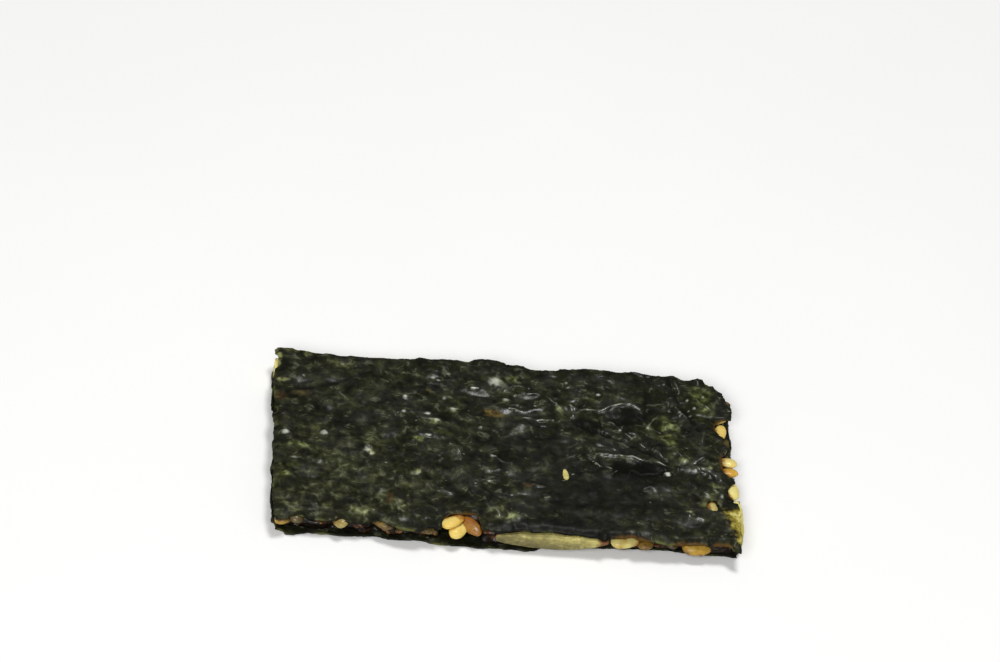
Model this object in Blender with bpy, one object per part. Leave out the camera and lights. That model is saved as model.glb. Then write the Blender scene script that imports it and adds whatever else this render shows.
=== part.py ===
"""Seaweed snack: two roasted nori sheets with sesame seeds and sliced almond in syrup between them.

Metres, +Z up. The crisp lies flat on its lower sheet, its long side along X and its front edge towards -Y.
The origin is on the surface that it lies on, under its middle.
"""

import math
import random

import bmesh
import bpy
from mathutils import Matrix, Vector, noise

MM = 0.001

# Driving dimensions
LENGTH = 48.0 * MM
WIDTH = 24.9 * MM
SHEET = 0.28 * MM  # thickness of one nori sheet
FILLING = 1.75 * MM  # thickness of the layer between the sheets
CLEARANCE = 0.12 * MM  # between one piece and the next
SEED_LENGTH = 3.1 * MM
SEED_WIDTH = 1.9 * MM
SEED_THICKNESS = 1.0 * MM
SEED_PITCH = 3.1 * MM  # from one seed to the next along an edge
SEED_STANDS = {  # least and most that the seeds of the other edges stand out past the sheets
    "back": (-0.10 * MM, 0.30 * MM),
    "left": (-0.50 * MM, -0.15 * MM),
}
FILLING_INSET = 0.6 * MM  # of the syrup layer's rim from the sheets' nominal rim
DRAW = 11  # picks the seeds along the two edges that face away

# Heights over the surface that the crisp lies on
FILLING_FLOOR = SHEET + CLEARANCE
FILLING_TOP = FILLING_FLOOR + FILLING
SHEET_FLOOR = FILLING_TOP + CLEARANCE

# How far a ragged rim pulls the points of a sheet with it: a high power keeps it to the rim
RIM_POWER = 7

# Colours, roughness
NORI = ((0.022, 0.025, 0.014), 0.45)
SYRUP = ((0.20, 0.075, 0.020), 0.25)
ALMOND = ((0.62, 0.52, 0.27), 0.50)

EDGES = ("front", "back", "left", "right")

# Nicks and bulges of a rim, in mm: place along the edge, half its width, depth inwards (a bulge is negative)
UPPER_NICKS = {
    "front": (
        (-21.7, 0.95, 0.45),
        (-17.5, 5.5, 0.5),
        (-13.6, 1.3, 0.3),
        (-10.0, 1.6, -0.3),
        (-4.85, 2.0, 2.4),
        (-2.6, 1.2, 0.45),
        (4.4, 5.2, 0.65),
        (11.5, 1.6, 0.6),
        (16.5, 4.5, 0.35),
        (19.4, 1.5, 0.2),
        (21.8, 1.3, 0.6),
        (24.2, 0.8, -0.15),
    ),
    "back": (
        (-24.3, 0.5, 0.5),
        (-15.5, 6.6, 0.55),
        (-1.6, 1.9, -0.45),
        (4.1, 1.9, 0.55),
        (19.6, 1.3, 0.45),
        (24.2, 2.6, 1.1),
        (24.4, 1.5, 0.7),
    ),
    "left": ((-12.4, 0.7, 0.2), (0.0, 12.0, -0.12), (10.5, 1.2, 0.45)),
    "right": (
        (-4.3, 1.5, 0.95),
        (-2.4, 0.6, 0.3),
        (0.0, 2.1, 1.45),
        (2.8, 0.9, 0.5),
        (5.25, 1.75, 1.85),
        (12.9, 3.0, 0.7),
    ),
}
LOWER_NICKS = {
    "front": ((-24.2, 1.3, 0.5), (-15.0, 7.0, 0.3), (15.5, 12.5, 1.15)),
    "back": ((-24.2, 1.2, 0.6), (-15.0, 6.0, 0.4), (9.0, 4.0, 0.3), (24.2, 2.4, 1.2)),
    "left": ((-12.4, 1.0, 0.5), (3.0, 2.4, 0.35), (12.4, 1.0, 0.5)),
    "right": ((-12.4, 0.9, 0.4), (-3.0, 2.0, 0.2), (12.4, 1.8, 0.9)),
}
FILLING_NICKS = {
    "front": ((-23.4, 1.0, 0.6), (-4.85, 2.2, 1.6), (14.5, 10.0, 0.4), (23.4, 1.0, 0.5)),
    "back": ((-23.4, 1.0, 0.6), (4.1, 1.8, 0.5), (23.4, 2.4, 1.6)),
    "left": ((-4.5, 2.0, 0.4), (6.5, 1.5, 0.5)),
    "right": ((9.5, 1.5, 0.4), (5.25, 2.1, 1.35), (0.0, 2.4, 0.5), (-4.3, 1.5, 0.4)),
}

# A tear in the upper sheet that shows a seed: centre and half sizes, in mm
TEAR = (21.2, -6.5, 0.65, 0.75)

# Almond flakes, cut straight where the crisp was cut, in mm: edge, from, to along it, depth inwards
FLAKES = {
    "almond_front": ("front", -1.35, 10.25, 5.2),
    "almond_right": ("right", -10.6, -4.75, 1.7),
    "almond_left": ("left", 8.4, 11.5, 3.4),
    "almond_back": ("back", -15.2, -6.4, 4.6),
}
# How much thinner each is at its first and its last end than in its middle, taken from its underside, in mm
FLAKE_TAPERS = {
    "almond_front": (0.55, 1.1),
    "almond_right": (0.3, 0.3),
    "almond_left": (0.0, 0.0),
    "almond_back": (0.0, 0.0),
}
# How far a flake's cut face stands out past the sheets' nominal rim
FLAKE_OVERHANGS = {"front": 0.05 * MM, "right": 0.50 * MM, "left": 0.10 * MM, "back": 0.20 * MM}

# Seeds bared by the front nick and by the tear, in mm and degrees:
# x, y, height over the middle of the layer, turn, tilt, size
BARED_SEEDS = (
    (-5.70, -11.15, 1.05, 35.0, -14.0, 0.90),
    (-5.00, -11.65, 0.42, 50.0, 10.0, 0.90),
    (-3.80, -11.15, 0.55, -50.0, 10.0, 0.95),
    (21.15, -6.60, 0.80, 80.0, 8.0, 0.85),
)
# Seeds along the two cut edges that face the eye, in the same terms
SEEN_SEEDS = (
    (-21.65, -10.80, 0.38, 97.0, 6.0, 0.95),
    (-16.85, -10.95, 0.40, 72.0, -8.0, 1.00),
    (-13.05, -11.10, 0.35, 145.0, 8.0, 1.00),
    (-8.20, -10.95, 0.20, 85.0, 0.0, 0.95),
    (12.10, -11.35, 0.22, 10.0, 15.0, 1.00),
    (14.25, -10.75, -0.05, 80.0, -6.0, 0.90),
    (16.80, -10.50, 0.15, 100.0, 8.0, 0.90),
    (19.40, -11.50, 0.15, -8.0, 20.0, 1.00),
    (21.80, -11.00, 0.20, 35.0, -10.0, 0.95),
    (23.00, 9.70, 0.10, 20.0, 0.0, 0.90),
    (22.25, 7.60, 0.20, 8.0, 5.0, 0.95),
    (22.75, 5.35, 0.42, 75.0, -8.0, 0.80),
    (22.90, 3.70, -0.15, 60.0, 0.0, 0.85),
    (23.20, 0.95, 0.42, 172.0, 10.0, 0.75),
    (23.20, -0.50, 0.36, 186.0, 12.0, 0.76),
    (23.60, -3.12, 0.42, 90.0, 10.0, 0.85),
)


def slow_noise(x, y, size, layer):
    """Smooth noise of about -1 to 1 whose swells are about `size` across."""
    return noise.noise(Vector((x / size, y / size, layer * 7.31)))


def sag(x, y):
    """Height of the lower sheet's underside: it lies flat in wide patches and rises a little between them."""
    return max(0.0, 0.42 * MM * slow_noise(x, y, 8.5 * MM, 1) - 0.05 * MM)


def swell(x, y):
    """Slow rise and fall of the upper side of the filling."""
    return 0.20 * MM * slow_noise(x, y, 10.0 * MM, 2) + 0.05 * MM


def lumps(x, y):
    """Rise of the upper sheet over the seeds and nuts that it covers. It is never under 0."""
    seeds = max(0.0, slow_noise(x, y, 2.4 * MM, 3)) * 0.42 * MM
    nuts = max(0.0, slow_noise(x, y, 5.5 * MM, 4)) * 0.45 * MM
    return seeds + nuts


def upper_floor(x, y):
    """Height of the upper sheet's underside."""
    return SHEET_FLOOR + swell(x, y) + lumps(x, y)


def nick(along, place, half_width, depth):
    """Depth of one nick at a point along an edge: a round-bottomed notch with steep sides."""
    t = abs(along - place * MM) / (half_width * MM)
    return depth * MM * math.sqrt(1 - t**3) if t < 1 else 0.0


def rim_offset(edge, along, nicks, layer):
    """How far a rim stands out past its straight line at a point along it."""
    ragged = 0.22 * MM * slow_noise(along, EDGES.index(edge) * 5 * MM, 1.7 * MM, layer)
    return ragged - sum(nick(along, *n) for n in nicks[edge])


def plan(length, width, nicks, layer):
    """A function that places a grid point (u, v), each from 0 to 1, in a rectangle with ragged rims."""

    def place(u, v):
        x, y = (u - 0.5) * length, (v - 0.5) * width
        out_y = rim_offset("back", x, nicks, layer) * v**RIM_POWER
        out_y -= rim_offset("front", x, nicks, layer) * (1 - v) ** RIM_POWER
        out_x = rim_offset("right", y, nicks, layer) * u ** (2 * RIM_POWER)
        out_x -= rim_offset("left", y, nicks, layer) * (1 - u) ** (2 * RIM_POWER)
        return x + out_x, y + out_y

    return place


def material(name, look):
    """A Principled material of one colour and roughness."""
    made = bpy.data.materials.new(name)
    made.use_nodes = True
    colour, roughness = look
    shader = made.node_tree.nodes["Principled BSDF"]
    shader.inputs["Base Color"].default_value = (*colour, 1)
    shader.inputs["Roughness"].default_value = roughness
    return made


def shade(mesh):
    """Smooth shading, with creases left sharp."""
    mesh.shade_smooth()
    mesh.set_sharp_from_angle(angle=math.radians(40))


def add_object(name, mesh_maker, look):
    """A named object from a bmesh, with its material."""
    mesh = bpy.data.meshes.new(name)
    mesh_maker.to_mesh(mesh)
    mesh_maker.free()
    shade(mesh)
    made = bpy.data.objects.new(name, mesh)
    bpy.context.scene.collection.objects.link(made)
    if look is not None:
        mesh.materials.append(look)
    return made


def grid_slab(name, columns, rows, place, floor, roof, look):
    """A closed slab over a grid. floor(x, y) and roof(x, y) are its two faces, split into triangles alike."""
    slab = bmesh.new()
    points = [[place(i / columns, j / rows) for i in range(columns + 1)] for j in range(rows + 1)]
    lower, upper = (
        [[slab.verts.new((x, y, height(x, y))) for x, y in row] for row in points] for height in (floor, roof)
    )
    for j in range(rows):
        for i in range(columns):
            for layer in (lower, upper):
                a, b = layer[j][i], layer[j][i + 1]
                c, d = layer[j + 1][i + 1], layer[j + 1][i]
                halves = ((a, b, c), (a, c, d)) if (i + j) % 2 else ((a, b, d), (b, c, d))
                for half in halves:
                    slab.faces.new(half if layer is upper else half[::-1])
    rim = [(i, 0) for i in range(columns)] + [(columns, j) for j in range(rows)]
    rim += [(i, rows) for i in range(columns, 0, -1)] + [(0, j) for j in range(rows, 0, -1)]
    for (i, j), (k, m) in zip(rim, rim[1:] + rim[:1], strict=True):
        slab.faces.new((lower[j][i], lower[m][k], upper[m][k], upper[j][i]))
    bmesh.ops.triangulate(slab, faces=[f for f in slab.faces if len(f.verts) > 3])
    return add_object(name, slab, look)


def boolean(target, operation, **operand):
    """Joins or cuts an object with another one, or with a collection, and applies it."""
    joined = target.modifiers.new(operation.title(), "BOOLEAN")
    joined.operation = operation
    joined.solver = "EXACT"
    for key, value in operand.items():
        setattr(joined, key, value)
    evaluated = target.evaluated_get(bpy.context.evaluated_depsgraph_get())
    mesh = bpy.data.meshes.new_from_object(evaluated)
    shade(mesh)
    target.modifiers.clear()
    target.data = mesh


def cut(target, cutter):
    """Cuts one object out of another and removes the cutter."""
    boolean(target, "DIFFERENCE", object=cutter)
    bpy.data.objects.remove(cutter)


def tear_cutter():
    """An oval plug through the upper sheet, taller than the sheet is thick."""
    x, y, half_x, half_y = (value * MM for value in TEAR)
    plug = bmesh.new()
    bmesh.ops.create_cone(plug, cap_ends=True, segments=12, radius1=1, radius2=1, depth=1)
    size = Matrix.Diagonal((half_x, half_y, 4 * FILLING, 1))
    plug.transform(Matrix.Translation((x, y, SHEET_FLOOR)) @ size)
    return add_object("tear_cutter", plug, None)


def flake_outline(start, end, depth, margin):
    """Plan of a flake cut straight along one side: the straight side on X, the round side towards +Y."""
    middle, half = (start + end) / 2, (end - start) / 2 + margin
    corners = 14
    outline = []
    for k in range(corners + 1):
        angle = math.pi * k / corners
        lean = 0.12 * half * math.sin(angle)  # a flake is fuller towards one end
        outline.append((middle - half * math.cos(angle) + lean, (depth + margin) * math.sin(angle) ** 0.8))
    return outline


def on_edge(edge, along, inwards):
    """Point in plan at a distance along an edge and inwards from the nominal rim."""
    across = {"front": (0, -1), "back": (0, 1), "left": (-1, 0), "right": (1, 0)}[edge]
    reach_x, reach_y = LENGTH / 2 - inwards, WIDTH / 2 - inwards
    if across[0]:
        return across[0] * reach_x, along
    return along, across[1] * reach_y


def flake_slab(name, floor, roof, margin, look):
    """A flake, thinner at its ends. margin widens it all round and past the crisp's edge, for its bed."""
    edge, start, end, depth = FLAKES[name]
    outline = flake_outline(start * MM, end * MM, depth * MM, margin)
    past_edge = 2 * MM if margin else FLAKE_OVERHANGS[edge]
    slab = bmesh.new()
    outline += [(outline[-1][0], -past_edge), (outline[0][0], -past_edge)]
    under = [slab.verts.new((*on_edge(edge, along, inwards), floor)) for along, inwards in outline]
    raised = bmesh.ops.extrude_face_region(slab, geom=[slab.faces.new(under)])["geom"]
    top = [v for v in raised if isinstance(v, bmesh.types.BMVert)]
    bmesh.ops.translate(slab, verts=top, vec=(0, 0, roof - floor))
    if not margin:
        for corner, (along, _) in zip(under, outline, strict=True):
            to_end = 2 * (along / MM - start) / (end - start) - 1
            corner.co.z += FLAKE_TAPERS[name][to_end > 0] * MM * to_end**2
    bmesh.ops.recalc_face_normals(slab, faces=slab.faces)
    return add_object(f"{name}_bed" if margin else name, slab, look)


def seed_shape():
    """A sesame seed along X, pointed at its +X end and flattened: its points and faces."""
    around, ring_places = 6, (0.1, 0.42, 0.82)
    rings = len(ring_places)
    points = [Vector((-0.5 * SEED_LENGTH, 0, 0))]
    for t in ring_places:
        girth = math.sqrt(1 - abs(2 * t - 1) ** 2.4) * (1.12 - 0.35 * t)
        for k in range(around):
            angle = 2 * math.pi * k / around
            side, rise = math.cos(angle) * SEED_WIDTH, math.sin(angle) * SEED_THICKNESS
            points.append(Vector(((t - 0.5) * SEED_LENGTH, side * girth / 2, rise * girth / 2)))
    points.append(Vector((0.5 * SEED_LENGTH, 0, 0)))
    last = len(points) - 1
    faces = []
    for k in range(around):
        m = (k + 1) % around
        faces.append((0, 1 + m, 1 + k))
        faces.append((last, last - around + k, last - around + m))
        for ring in range(rings - 1):
            a, b = 1 + ring * around + k, 1 + ring * around + m
            faces += [(a, b, b + around), (a, b + around, a + around)]
    return points, faces


def meets_flake(points):
    """Whether the points of a seed come into the oblong that a flake takes up."""
    for edge, start, end, depth in FLAKES.values():
        corners = [on_edge(edge, start * MM, -MM), on_edge(edge, end * MM, depth * MM)]
        low, high = ([pick(c[axis] for c in corners) for axis in (0, 1)] for pick in (min, max))
        gap = 2 * CLEARANCE
        if all(
            min(p[axis] for p in points) < high[axis] + gap and max(p[axis] for p in points) > low[axis] - gap
            for axis in (0, 1)
        ):
            return True
    return False


def drawn_seeds(edge, draw):
    """Seeds along an edge that faces away: along the edge, height, turn, tilt."""
    half = (LENGTH if edge == "back" else WIDTH) / 2
    along = -half + 1.6 * MM
    while along < half - 1.4 * MM:
        yield along, draw.uniform(-0.35, 0.35) * MM, draw.uniform(0, 360), draw.uniform(-22, 22)
        along += SEED_PITCH * draw.uniform(0.8, 1.35)


def rim_seed(edge, along, height, turn, tilt, stand):
    """A seed at a cut edge that stands out past the sheets, in the terms of SEEN_SEEDS but in metres."""
    x, y = on_edge(edge, along, 0)
    points = place_seed((x, y, height, turn, tilt, 1), filling_roof)
    if edge == "back":
        y += stand - max(p.y for p in points) + WIDTH / 2
    else:
        x -= stand + min(p.x for p in points) + LENGTH / 2
    return x, y, height, turn, tilt, 1


def in_metres(seed):
    """A seed of the tables above, with its lengths in metres."""
    x, y, height, turn, tilt, size = seed
    return x * MM, y * MM, height * MM, turn, tilt, size


def rim_seeds():
    """The seeds that show at the cut edges, without those that would meet a flake."""
    draw = random.Random(DRAW)
    found = [in_metres(seed) for seed in SEEN_SEEDS]
    for edge, stands in SEED_STANDS.items():
        found += [rim_seed(edge, *place, draw.uniform(*stands)) for place in drawn_seeds(edge, draw)]
    return [seed for seed in found if not meets_flake(place_seed(seed, filling_roof))]


def place_seed(seed, roof):
    """Points of one seed at its place, held under roof(x, y) and over the lower sheet."""
    x, y, height, turn, tilt, size = seed
    middle = FILLING_FLOOR + FILLING / 2 + height
    pose = Matrix.Translation((x, y, middle)) @ Matrix.Rotation(math.radians(turn), 4, "Z")
    pose = pose @ Matrix.Rotation(math.radians(tilt), 4, "X")
    placed = []
    for point in seed_shape()[0]:
        p = pose @ (point * size)
        p.z = min(max(p.z, FILLING_FLOOR + sag(p.x, p.y)), roof(p.x, p.y))
        placed.append(p)
    return placed


def filling_roof(x, y):
    """Height of the filling's upper side."""
    return FILLING_TOP + swell(x, y)


def open_roof(_x, _y):
    """Height up to which a bared seed may rise, where the upper sheet leaves it uncovered."""
    return SHEET_FLOOR + SHEET + 0.35 * MM


def add_seeds():
    """One object for each seed, in a collection of their own."""
    seeds = bpy.data.collections.new("seeds")
    bpy.context.scene.collection.children.link(seeds)
    covered = [(place, filling_roof) for place in rim_seeds()]
    bared = [(in_metres(seed), open_roof) for seed in BARED_SEEDS]
    for number, (place, roof) in enumerate(covered + bared):
        mesh = bpy.data.meshes.new(f"seed_{number}")
        mesh.from_pydata(place_seed(place, roof), [], seed_shape()[1])
        seeds.objects.link(bpy.data.objects.new(f"seed_{number}", mesh))
    return seeds


def make_sheets(nori):
    """The two nori sheets."""
    lower = plan(LENGTH + 0.2 * MM, WIDTH - 0.1 * MM, LOWER_NICKS, 11)
    grid_slab("lower_sheet", 38, 20, lower, sag, lambda x, y: sag(x, y) + SHEET, nori)
    upper = plan(LENGTH, WIDTH, UPPER_NICKS, 12)
    sheet = grid_slab("upper_sheet", 52, 27, upper, upper_floor, lambda x, y: upper_floor(x, y) + SHEET, nori)
    cut(sheet, tear_cutter())


def make_filling(syrup, almond):
    """The syrup layer with its seeds fused on, and the almond flakes in their beds."""
    layout = plan(LENGTH - 2 * FILLING_INSET, WIDTH - 2 * FILLING_INSET, FILLING_NICKS, 13)
    filling = grid_slab(
        "filling", 34, 18, layout, lambda x, y: FILLING_FLOOR + sag(x, y), filling_roof, syrup
    )
    for name in FLAKES:
        cut(filling, flake_slab(name, -FILLING, 3 * FILLING, CLEARANCE, None))
    seeds = add_seeds()
    boolean(filling, "UNION", operand_type="COLLECTION", collection=seeds)
    for seed in list(seeds.objects):
        bpy.data.objects.remove(seed)
    bpy.data.collections.remove(seeds)
    for name in FLAKES:
        flake = flake_slab(name, FILLING_FLOOR + 0.25 * MM, FILLING_TOP - 0.12 * MM, 0, almond)
        rounding = flake.modifiers.new("Rounding", "BEVEL")
        rounding.width = 0.15 * MM
        rounding.segments = 2


def main():
    for old in list(bpy.data.objects):
        bpy.data.objects.remove(old)
    make_sheets(material("nori", NORI))
    make_filling(material("syrup", SYRUP), material("almond", ALMOND))


main()
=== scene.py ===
"""Seaweed snack: the looks of one crisp, two nori sheets with sesame and almond in syrup between them.

Sizes are in millimetres. The crisp lies on its lower sheet, its front cut edge towards -Y.
"""

import math
import random

import bpy
from mathutils import Matrix, Vector, noise
from mathutils.bvhtree import BVHTree


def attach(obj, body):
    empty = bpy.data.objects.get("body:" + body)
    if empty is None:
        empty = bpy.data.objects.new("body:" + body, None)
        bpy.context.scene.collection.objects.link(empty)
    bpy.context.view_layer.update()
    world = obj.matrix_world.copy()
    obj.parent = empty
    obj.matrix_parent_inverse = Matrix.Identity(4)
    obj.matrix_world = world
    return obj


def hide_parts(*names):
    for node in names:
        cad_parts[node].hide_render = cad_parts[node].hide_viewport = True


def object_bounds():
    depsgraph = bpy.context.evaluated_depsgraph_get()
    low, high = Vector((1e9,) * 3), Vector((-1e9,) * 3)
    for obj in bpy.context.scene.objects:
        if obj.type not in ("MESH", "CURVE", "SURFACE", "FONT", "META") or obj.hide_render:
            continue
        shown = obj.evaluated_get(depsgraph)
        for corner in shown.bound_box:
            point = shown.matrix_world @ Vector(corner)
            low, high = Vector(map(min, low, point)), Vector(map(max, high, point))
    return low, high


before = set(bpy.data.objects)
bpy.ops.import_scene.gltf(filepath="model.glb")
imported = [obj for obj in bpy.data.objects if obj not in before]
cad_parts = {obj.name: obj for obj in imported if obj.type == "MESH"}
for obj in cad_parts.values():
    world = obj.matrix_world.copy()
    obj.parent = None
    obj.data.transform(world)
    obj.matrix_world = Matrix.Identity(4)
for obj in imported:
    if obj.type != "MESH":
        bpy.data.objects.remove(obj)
solid_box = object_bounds()

MM = 0.001

# ---------------- sizes of the crisp, in mm
LENGTH = 48.0
WIDTH = 24.9
SHEET = 0.28  # the space that one sheet has
FILLING = 1.75
CLEARANCE = 0.12
SEED_LENGTH = 3.1
SEED_WIDTH = 1.9
SEED_THICKNESS = 1.0
SEED_PITCH = 3.1
SEED_ROAST = (0.38, 0.24)  # of the seeds that no table names: middle and spread, 0 pale and 1 dark
CHIPS = 80
CHIP_SIZES = (0.35, 0.8)
CHIP_SHARES = (48, 48, 25, 25)  # of the front, back, left and right edges
SEED_STANDS = {"back": (-0.1, 0.3), "left": (-0.5, -0.15)}  # past the sheets, along the other edges
SYRUP_INSET = 1.0  # from the rims of the upper sheet
SYRUP_QUADS = (220, 114, 9)  # along, across and up
FLAKE_PITCHES = (0.12, 0.3)  # between the points of a flake, along its edge and inwards
DRAW = 11  # starts the random draws
RIM_POWER = 7  # how fast the nicks of a rim fade inwards

FILLING_FLOOR = SHEET + CLEARANCE
FILLING_TOP = FILLING_FLOOR + FILLING
SHEET_FLOOR = FILLING_TOP + CLEARANCE
TALLEST = solid_box[1][2] / MM  # nothing stands higher than this

NORI_THICKNESS = 0.16  # of the dried sheet itself
FRAY = 0.07  # how far its rims are frayed
RIM_FADE = 0.5  # how far inwards it looks thin
CROWDING = 0.15  # how much closer together its points are at the right, where it has the most wrinkles
NORI_PITCH = 0.128  # between the points of the upper sheet
UNDER_PITCH = 0.21  # between those of the lower sheet
HIDDEN_BEYOND = 1.5  # from a cut edge inwards, the faces that touch the filling are left out

OUTWARDS = {"front": (0, -1), "back": (0, 1), "left": (-1, 0), "right": (1, 0)}
EDGES = tuple(OUTWARDS)

# nicks and bulges of a rim: place along the edge, half its width, depth inwards
UPPER_NICKS = {
    "front": (
        (-21.7, 0.95, 0.45), (-17.5, 5.5, 0.5), (-13.6, 1.3, 0.3), (-10.0, 1.6, -0.3), (-4.85, 2.0, 2.4),
        (-2.6, 1.2, 0.45), (4.4, 5.2, 0.65), (11.5, 1.6, 0.6), (16.5, 4.5, 0.35), (19.4, 1.5, 0.2),
        (21.8, 1.3, 0.6), (24.2, 0.8, -0.15),
    ),
    "back": (
        (-24.3, 0.5, 0.5), (-15.5, 6.6, 0.55), (-1.6, 1.9, -0.45), (4.1, 1.9, 0.55), (19.6, 1.3, 0.45),
        (24.2, 2.6, 1.1), (24.4, 1.5, 0.7),
    ),
    "left": ((-12.4, 0.7, 0.2), (0.0, 12.0, -0.12), (10.5, 1.2, 0.45)),
    "right": (
        (-4.3, 1.5, 0.95), (-2.4, 0.6, 0.3), (0.0, 2.1, 1.45), (2.8, 0.9, 0.5), (5.25, 1.75, 1.85),
        (12.9, 3.0, 0.7),
    ),
}
LOWER_NICKS = {
    "front": ((-24.2, 1.3, 0.5), (-15.0, 7.0, 0.3), (15.5, 12.5, 1.15)),
    "back": ((-24.2, 1.2, 0.6), (-15.0, 6.0, 0.4), (9.0, 4.0, 0.3), (24.2, 2.4, 1.2)),
    "left": ((-12.4, 1.0, 0.5), (3.0, 2.4, 0.35), (12.4, 1.0, 0.5)),
    "right": ((-12.4, 0.9, 0.4), (-3.0, 2.0, 0.2), (12.4, 1.8, 0.9)),
}
FILLING_NICKS = {
    "front": ((-23.4, 1.0, 0.6), (-4.85, 2.2, 1.6), (14.5, 10.0, 0.4), (23.4, 1.0, 0.5)),
    "back": ((-23.4, 1.0, 0.6), (4.1, 1.8, 0.5), (23.4, 2.4, 1.6)),
    "left": ((-4.5, 2.0, 0.4), (6.5, 1.5, 0.5)),
    "right": ((9.5, 1.5, 0.4), (5.25, 2.1, 1.35), (0.0, 2.4, 0.5), (-4.3, 1.5, 0.4)),
}
TEAR = (21.2, -6.5, 0.65, 0.75)  # middle and half sizes

# almond flakes: edge, from, to along it, depth inwards, how far it stands past the nominal rim,
# its lowest and highest point, how much its underside rises at its first and its last end,
# how dull its flesh is at them, where the dulling is partly painted shade, how much brown skin its
# last end has, and how round its cut corners are
FLAKES = {
    "almond_front": ("front", -1.35, 10.25, 5.2, 0.05, 0.55, 2.06, (0.55, 1.1), (1.55, 0.46), 1.0, 0.2),
    "almond_right": ("right", -10.6, -4.75, 1.7, 0.5, 0.6, 2.05, (0.3, 0.3), (0.0, 0.1), 0.0, 0.55),
    "almond_left": ("left", 8.4, 11.5, 3.4, 0.1, 0.65, 2.02, (0.1, 0.1), (0.15, 0.1), 0.2, 0.1),
    "almond_back": ("back", -15.2, -6.4, 4.6, 0.2, 0.7, 2.03, (0.1, 0.1), (0.6, 0.4), 1.0, 0.2),
}
FLAKE_GRAIN = 1.4  # how much closer together its bumps are upwards than along it
CRUMB = (6.05, -3.5, 0.66, 1.6, 0.45, 96.0)  # on the upper sheet: x, y, width, length, thickness, turn

# seeds bared by the front nick and by the tear: x, y, height over the middle, turn, tilt, size,
# roast, and how much syrup and painted shade darken each, both from 0 to 1
BARED_SEEDS = (
    (-5.7, -11.15, 1.05, 35.0, -14.0, 0.9, 0.26, 0.0), (-5.0, -11.65, 0.42, 50.0, 10.0, 0.9, 0.22, 0.0),
    (-3.8, -11.15, 0.55, -50.0, 10.0, 0.95, 1.0, 0.26), (21.15, -6.6, 0.8, 80.0, 8.0, 0.85, 0.1, 0.44),
)
# seeds along the front and right edges, in the same terms
SEEN_SEEDS = (
    (-21.65, -10.8, 0.38, 97.0, 6.0, 0.95, 0.2, 0.75), (-16.85, -10.95, 0.4, 72.0, -8.0, 1.0, 0.2, 0.56),
    (-13.05, -11.1, 0.35, 145.0, 8.0, 1.0, 0.55, 0.7), (-8.2, -10.95, 0.2, 85.0, 0.0, 0.95, 0.35, 0.72),
    (12.1, -11.35, 0.22, 10.0, 15.0, 1.0, 0.06, 0.37), (14.25, -10.75, -0.05, 80.0, -6.0, 0.9, 0.8, 0.55),
    (16.8, -10.5, 0.15, 100.0, 8.0, 0.9, 0.9, 0.8), (19.4, -11.5, 0.15, -8.0, 20.0, 1.0, 0.45, 0.45),
    (21.8, -11.0, 0.2, 35.0, -10.0, 0.95, 0.6, 0.42), (23.0, 9.7, 0.1, 20.0, 0.0, 0.9, 0.9, 0.4),
    (22.25, 7.6, 0.2, 8.0, 5.0, 0.95, 0.2, 0.25), (22.75, 5.35, 0.42, 75.0, -8.0, 0.8, 0.24, 0.0),
    (22.9, 3.7, -0.15, 60.0, 0.0, 0.85, 0.7, 0.55), (23.2, 0.95, 0.42, 172.0, 10.0, 0.75, 0.04, 0.02),
    (23.2, -0.5, 0.36, 186.0, 12.0, 0.76, 0.62, 0.12), (23.6, -3.12, 0.42, 90.0, 10.0, 0.85, 0.0, 0.0),
)

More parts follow.
